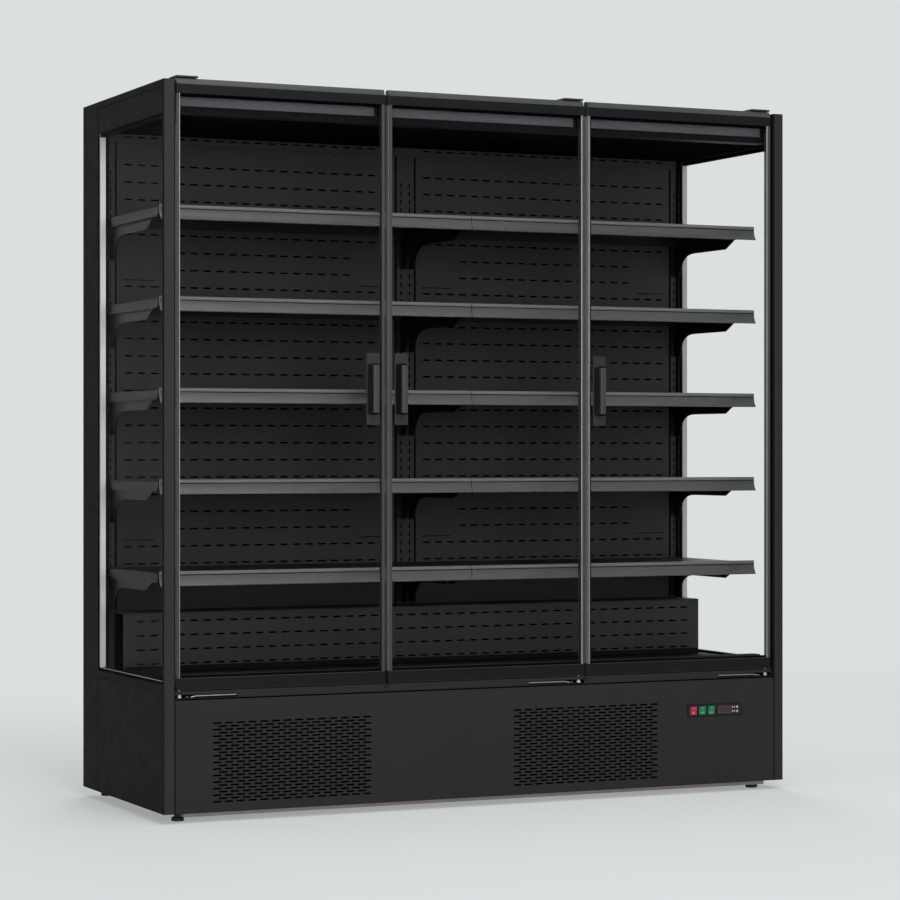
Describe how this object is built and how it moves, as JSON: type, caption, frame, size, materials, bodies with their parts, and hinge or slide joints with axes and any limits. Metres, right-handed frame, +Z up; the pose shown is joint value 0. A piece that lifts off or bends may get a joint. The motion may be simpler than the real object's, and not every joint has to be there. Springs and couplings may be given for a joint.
{
  "type": "multideck display fridge with glass doors",
  "caption": "Free-standing multideck display fridge with hinged glass doors, side windows, hooked shelves in two bays and a louvred machine base with rocker switches.",
  "frame": {"origin": "on the floor under the middle of the whole object, handles and hinge plates included", "axes": "+X to the viewer's right when facing the doors, +Y from the doors towards the back, +Z up"},
  "size_m": [1.933, 0.734, 2.012],
  "materials": {
    "black_paint": "satin powder coat",
    "black_sheet": "satin powder coat",
    "shelf_paint": "satin powder coat",
    "door_profile": "black anodised, satin",
    "black_plastic": "satin",
    "clear_glass": "clear double glazing",
    "steel": "zinc plated",
    "galvanised": "galvanised sheet",
    "foam_panel": "coated sheet over foam",
    "roof_foam": "coated sheet over foam",
    "coil": "finned coil",
    "machine_black": "satin black",
    "red_switch": "gloss",
    "green_switch": "gloss",
    "thermostat_case": "gloss",
    "key_grey": "satin",
    "rubber": "matte"
  },
  "bodies": {
    "cabinet": {"left_end_frame": "black_paint", "right_end_frame": "black_paint", "left_side_glass": "clear_glass", "right_side_glass": "clear_glass", "rear_panel": "foam_panel", "roof_canopy": "roof_foam", "door_lintel": "black_paint", "back_header": "black_sheet", "back_panel_left": "black_sheet", "back_panel_right": "black_sheet", "upright_left": "black_sheet", "upright_centre": "black_sheet", "upright_right": "black_sheet", "lower_duct_panel": "black_sheet", "deck_tray": "black_sheet", "return_grille": "black_sheet", "tub_floor": "foam_panel", "front_sill": "black_paint", "front_panel": "black_paint", "base_chassis": "galvanised", "control_plate": "black_plastic", "thermostat": "thermostat_case", "shelf_1_left": "shelf_paint", "shelf_1_right": "shelf_paint", "shelf_2_left": "shelf_paint", "shelf_2_right": "shelf_paint", "shelf_3_left": "shelf_paint", "shelf_3_right": "shelf_paint", "shelf_4_left": "shelf_paint", "shelf_4_right": "shelf_paint", "shelf_5_left": "shelf_paint", "shelf_5_right": "shelf_paint", "top_hinge_1": "black_paint", "top_hinge_2": "black_paint", "top_hinge_3": "black_paint", "bottom_hinge_1": "steel", "bottom_hinge_2": "steel", "bottom_hinge_3": "steel", "compressor": "machine_black", "condenser_coil": "coil", "evaporator_coil": "coil"},
    "door_1": {"door_1_frame": "door_profile", "door_1_glass": "clear_glass", "door_1_handle": "black_plastic"},
    "door_2": {"door_2_frame": "door_profile", "door_2_glass": "clear_glass", "door_2_handle": "black_plastic"},
    "door_3": {"door_3_frame": "door_profile", "door_3_glass": "clear_glass", "door_3_handle": "black_plastic"},
    "red_switch": {"red_rocker": "red_switch"},
    "green_switch_1": {"green_rocker_1": "green_switch"},
    "green_switch_2": {"green_rocker_2": "green_switch"},
    "key_up": {"thermostat_key_up": "key_grey"},
    "key_down": {"thermostat_key_down": "key_grey"},
    "fan": {"condenser_fan": "black_plastic"},
    "foot_fl": {"foot_front_left": "rubber"},
    "foot_fr": {"foot_front_right": "rubber"},
    "foot_rl": {"foot_rear_left": "rubber"},
    "foot_rr": {"foot_rear_right": "rubber"}
  },
  "joints": [
    {"name": "door_1_hinge", "type": "hinge", "parent": "cabinet", "child": "door_1", "pos_m": [-0.916, -0.326, 1], "axis": [0, 0, -1], "range_deg": [0, 90]},
    {"name": "door_2_hinge", "type": "hinge", "parent": "cabinet", "child": "door_2", "pos_m": [0.2935, -0.326, 1], "axis": [0, 0, 1], "range_deg": [0, 90]},
    {"name": "door_3_hinge", "type": "hinge", "parent": "cabinet", "child": "door_3", "pos_m": [0.916, -0.326, 1], "axis": [0, 0, 1], "range_deg": [0, 90]},
    {"name": "red_switch_tilt", "type": "hinge", "parent": "cabinet", "child": "red_switch", "pos_m": [0.6615, -0.342, 0.2435], "axis": [-1, 0, 0], "range_deg": [0, 14]},
    {"name": "green_switch_1_tilt", "type": "hinge", "parent": "cabinet", "child": "green_switch_1", "pos_m": [0.6915, -0.342, 0.2435], "axis": [-1, 0, 0], "range_deg": [0, 14]},
    {"name": "green_switch_2_tilt", "type": "hinge", "parent": "cabinet", "child": "green_switch_2", "pos_m": [0.7215, -0.342, 0.2435], "axis": [-1, 0, 0], "range_deg": [0, 14]},
    {"name": "key_up_press", "type": "slide", "parent": "cabinet", "child": "key_up", "axis": [0, 1, 0], "range_m": [0, 0.001], "stiffness_N_per_m": 300},
    {"name": "key_down_press", "type": "slide", "parent": "cabinet", "child": "key_down", "axis": [0, 1, 0], "range_m": [0, 0.001], "stiffness_N_per_m": 300},
    {"name": "fan_spin", "type": "hinge", "parent": "cabinet", "child": "fan", "pos_m": [-0.594, -0.204, 0.169], "axis": [0, 1, 0], "continuous": true},
    {"name": "foot_fl_turn", "type": "hinge", "parent": "cabinet", "child": "foot_fl", "pos_m": [-0.9015, -0.273, 0], "axis": [0, 0, 1], "continuous": true},
    {"name": "foot_fr_turn", "type": "hinge", "parent": "cabinet", "child": "foot_fr", "pos_m": [0.9015, -0.273, 0], "axis": [0, 0, 1], "continuous": true},
    {"name": "foot_rl_turn", "type": "hinge", "parent": "cabinet", "child": "foot_rl", "pos_m": [-0.9015, 0.344, 0], "axis": [0, 0, 1], "continuous": true},
    {"name": "foot_rr_turn", "type": "hinge", "parent": "cabinet", "child": "foot_rr", "pos_m": [0.9015, 0.344, 0], "axis": [0, 0, 1], "continuous": true}
  ]
}
